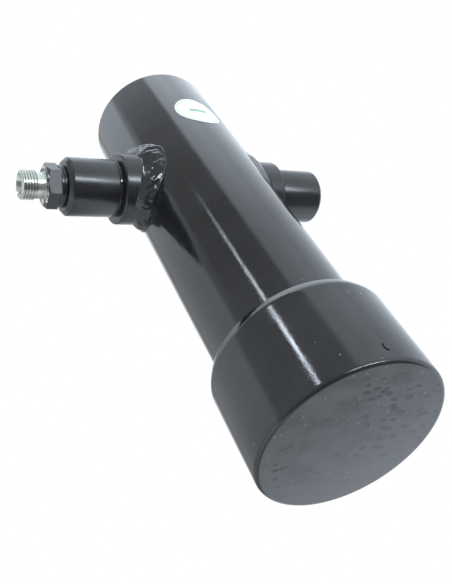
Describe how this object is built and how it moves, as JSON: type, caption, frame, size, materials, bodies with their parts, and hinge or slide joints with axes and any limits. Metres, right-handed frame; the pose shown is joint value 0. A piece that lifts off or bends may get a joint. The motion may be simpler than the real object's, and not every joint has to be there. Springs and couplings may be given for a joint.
{
  "type": "hydraulic ram",
  "caption": "Trunnion-mounted single-acting telescopic hydraulic ram: black painted closed barrel with a base cup, side trunnions, an oil adapter, a sliding stage and a ball-ended plunger.",
  "frame": {"origin": "centre of the base cap's flat outer face, on the ram's axis", "axes": "+Z along the ram's axis towards the rod end; the trunnions lie on X, and the oil adapter is on the -X trunnion"},
  "size_m": [0.1832, 0.091, 0.306],
  "materials": {
    "black_paint": "gloss black enamel, dusty and a little chipped",
    "weld_bead": "rippled weld bead under gloss black enamel",
    "zinc_plate": "yellowish zinc plate with overspray of black paint",
    "label_vinyl": "satin white vinyl with plain green marks",
    "hard_chrome": "ground hard chrome",
    "machined_steel": "turned steel with a film of oil",
    "spring_steel": "blued spring steel",
    "guide_bronze": "oiled bronze",
    "seal_rubber": "black nitrile rubber"
  },
  "bodies": {
    "barrel": {"barrel_tube": "black_paint", "base_cap": "black_paint", "base_seal": "seal_rubber", "blind_collar": "black_paint", "blind_pin": "black_paint", "blind_pin_weld": "weld_bead", "blind_collar_weld": "weld_bead", "port_collar": "black_paint", "port_pin": "black_paint", "port_pin_weld": "weld_bead", "port_collar_weld": "weld_bead", "port_washer": "black_paint", "bonded_seal": "seal_rubber", "port_adapter": "zinc_plate", "inspection_label": "label_vinyl", "gland_nut": "black_paint", "gland_guide_ring": "guide_bronze", "gland_rod_seal": "seal_rubber", "gland_wiper": "seal_rubber", "gland_o_ring": "seal_rubber"},
    "stage": {"stage_tube": "hard_chrome", "stage_snap_ring_lower": "spring_steel", "stage_snap_ring_upper": "spring_steel", "stage_guide_ring": "guide_bronze", "plunger_stop_ring": "spring_steel", "stage_head": "machined_steel", "head_guide_ring": "guide_bronze", "head_rod_seal": "seal_rubber", "head_wiper": "seal_rubber", "head_o_ring": "seal_rubber"},
    "plunger": {"plunger": "hard_chrome", "plunger_snap_ring_lower": "spring_steel", "plunger_snap_ring_upper": "spring_steel", "plunger_guide_ring": "guide_bronze", "ball_end": "machined_steel"}
  },
  "joints": [
    {"name": "stage_slide", "type": "slide", "parent": "barrel", "child": "stage", "axis": [0, 0, 1], "range_m": [0, 0.18]},
    {"name": "plunger_slide", "type": "slide", "parent": "stage", "child": "plunger", "axis": [0, 0, 1], "range_m": [0, 0.18]}
  ]
}
